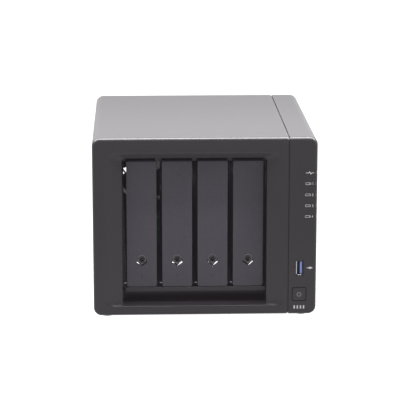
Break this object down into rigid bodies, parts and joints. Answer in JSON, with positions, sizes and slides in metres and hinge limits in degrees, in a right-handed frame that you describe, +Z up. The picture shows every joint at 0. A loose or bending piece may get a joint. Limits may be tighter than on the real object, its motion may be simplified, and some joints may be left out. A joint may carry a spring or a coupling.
{
  "type": "nas enclosure",
  "caption": "Desktop network storage enclosure with slide-out drive trays behind hinged handles, a control strip, twin rear fans and rear ports.",
  "frame": {"origin": "on the ground, under the middle of the case", "axes": "+Z up, +X to the right seen from the front, +Y towards the back; the trays face -Y"},
  "size_m": [0.199, 0.223, 0.166],
  "materials": {
    "case_plastic": "satin, fine spark-eroded texture",
    "tray_plastic": "matte, slightly metallic speckle",
    "black_plastic": "matte moulded",
    "rubber": "matte",
    "steel": "zinc plated",
    "black_steel": "fine textured powder coat",
    "circuit_board": "solder mask with copper tracks",
    "aluminium": "extruded",
    "usb_blue": "moulded",
    "clear_plastic": "frosted"
  },
  "bodies": {
    "case": {"left_shell": "case_plastic", "right_shell": "case_plastic", "chassis_base": "steel", "lan_port_1": "steel", "lan_port_2": "steel", "rear_usb_port": "steel", "front_usb_shell": "steel", "rear_panel": "black_steel", "drive_cage": "black_steel", "sill_trim": "black_plastic", "foot_front_left": "rubber", "foot_front_right": "rubber", "foot_back_left": "rubber", "foot_back_right": "rubber", "panel_screw_lower_left": "steel", "panel_screw_lower_right": "steel", "panel_screw_upper_left": "steel", "panel_screw_upper_right": "steel", "drive_socket_1": "black_plastic", "drive_socket_2": "black_plastic", "drive_socket_3": "black_plastic", "drive_socket_4": "black_plastic", "backplane": "circuit_board", "mainboard": "circuit_board", "control_board": "circuit_board", "heatsink": "aluminium", "dc_inlet": "black_plastic", "ribbon_cable": "black_plastic", "fan_1_frame": "black_plastic", "fan_2_frame": "black_plastic", "front_usb_tongue": "usb_blue", "light_guide": "clear_plastic"},
    "tray_1": {"tray_1": "tray_plastic", "tray_1_hinge_pin": "steel", "tray_1_upper_strip": "black_plastic", "tray_1_lower_strip": "black_plastic"},
    "handle_1": {"tray_1_handle": "tray_plastic"},
    "lock_1": {"tray_1_lock": "black_plastic"},
    "tray_2": {"tray_2": "tray_plastic", "tray_2_hinge_pin": "steel", "tray_2_upper_strip": "black_plastic", "tray_2_lower_strip": "black_plastic"},
    "handle_2": {"tray_2_handle": "tray_plastic"},
    "lock_2": {"tray_2_lock": "black_plastic"},
    "tray_3": {"tray_3": "tray_plastic", "tray_3_hinge_pin": "steel", "tray_3_upper_strip": "black_plastic", "tray_3_lower_strip": "black_plastic"},
    "handle_3": {"tray_3_handle": "tray_plastic"},
    "lock_3": {"tray_3_lock": "black_plastic"},
    "tray_4": {"tray_4": "tray_plastic", "tray_4_hinge_pin": "steel", "tray_4_upper_strip": "black_plastic", "tray_4_lower_strip": "black_plastic"},
    "handle_4": {"tray_4_handle": "tray_plastic"},
    "lock_4": {"tray_4_lock": "black_plastic"},
    "power_button": {"power_button": "case_plastic"},
    "reset_button": {"reset_button": "black_plastic"},
    "fan_rotor_1": {"fan_1_rotor": "black_plastic"},
    "fan_rotor_2": {"fan_2_rotor": "black_plastic"}
  },
  "joints": [
    {"name": "tray_1_slide", "type": "slide", "parent": "case", "child": "tray_1", "axis": [0, -1, 0], "range_m": [0, 0.17]},
    {"name": "handle_1_swing", "type": "hinge", "parent": "tray_1", "child": "handle_1", "pos_m": [-0.0562, -0.0932, 0.1388], "axis": [-1, 0, 0], "range_deg": [0, 60]},
    {"name": "lock_1_turn", "type": "hinge", "parent": "handle_1", "child": "lock_1", "pos_m": [-0.0562, -0.094, 0.0526], "axis": [0, -1, 0], "range_deg": [-90, 0]},
    {"name": "tray_2_slide", "type": "slide", "parent": "case", "child": "tray_2", "axis": [0, -1, 0], "range_m": [0, 0.17]},
    {"name": "handle_2_swing", "type": "hinge", "parent": "tray_2", "child": "handle_2", "pos_m": [-0.0245, -0.0932, 0.1388], "axis": [-1, 0, 0], "range_deg": [0, 60]},
    {"name": "lock_2_turn", "type": "hinge", "parent": "handle_2", "child": "lock_2", "pos_m": [-0.0245, -0.094, 0.0526], "axis": [0, -1, 0], "range_deg": [-90, 0]},
    {"name": "tray_3_slide", "type": "slide", "parent": "case", "child": "tray_3", "axis": [0, -1, 0], "range_m": [0, 0.17]},
    {"name": "handle_3_swing", "type": "hinge", "parent": "tray_3", "child": "handle_3", "pos_m": [0.0072, -0.0932, 0.1388], "axis": [-1, 0, 0], "range_deg": [0, 60]},
    {"name": "lock_3_turn", "type": "hinge", "parent": "handle_3", "child": "lock_3", "pos_m": [0.0072, -0.094, 0.0526], "axis": [0, -1, 0], "range_deg": [-90, 0]},
    {"name": "tray_4_slide", "type": "slide", "parent": "case", "child": "tray_4", "axis": [0, -1, 0], "range_m": [0, 0.17]},
    {"name": "handle_4_swing", "type": "hinge", "parent": "tray_4", "child": "handle_4", "pos_m": [0.0389, -0.0932, 0.1388], "axis": [-1, 0, 0], "range_deg": [0, 60]},
    {"name": "lock_4_turn", "type": "hinge", "parent": "handle_4", "child": "lock_4", "pos_m": [0.0389, -0.094, 0.0526], "axis": [0, -1, 0], "range_deg": [-90, 0]},
    {"name": "power_button_press", "type": "slide", "parent": "case", "child": "power_button", "axis": [0, 1, 0], "range_m": [0, 0.001], "stiffness_N_per_m": 600},
    {"name": "reset_button_press", "type": "slide", "parent": "case", "child": "reset_button", "axis": [0, -1, 0], "range_m": [0, 0.0008], "stiffness_N_per_m": 600},
    {"name": "fan_1_spin", "type": "hinge", "parent": "case", "child": "fan_rotor_1", "pos_m": [-0.0466, 0.0947, 0.11], "axis": [0, 1, 0], "continuous": true},
    {"name": "fan_2_spin", "type": "hinge", "parent": "case", "child": "fan_rotor_2", "pos_m": [0.0466, 0.0947, 0.11], "axis": [0, 1, 0], "continuous": true}
  ]
}
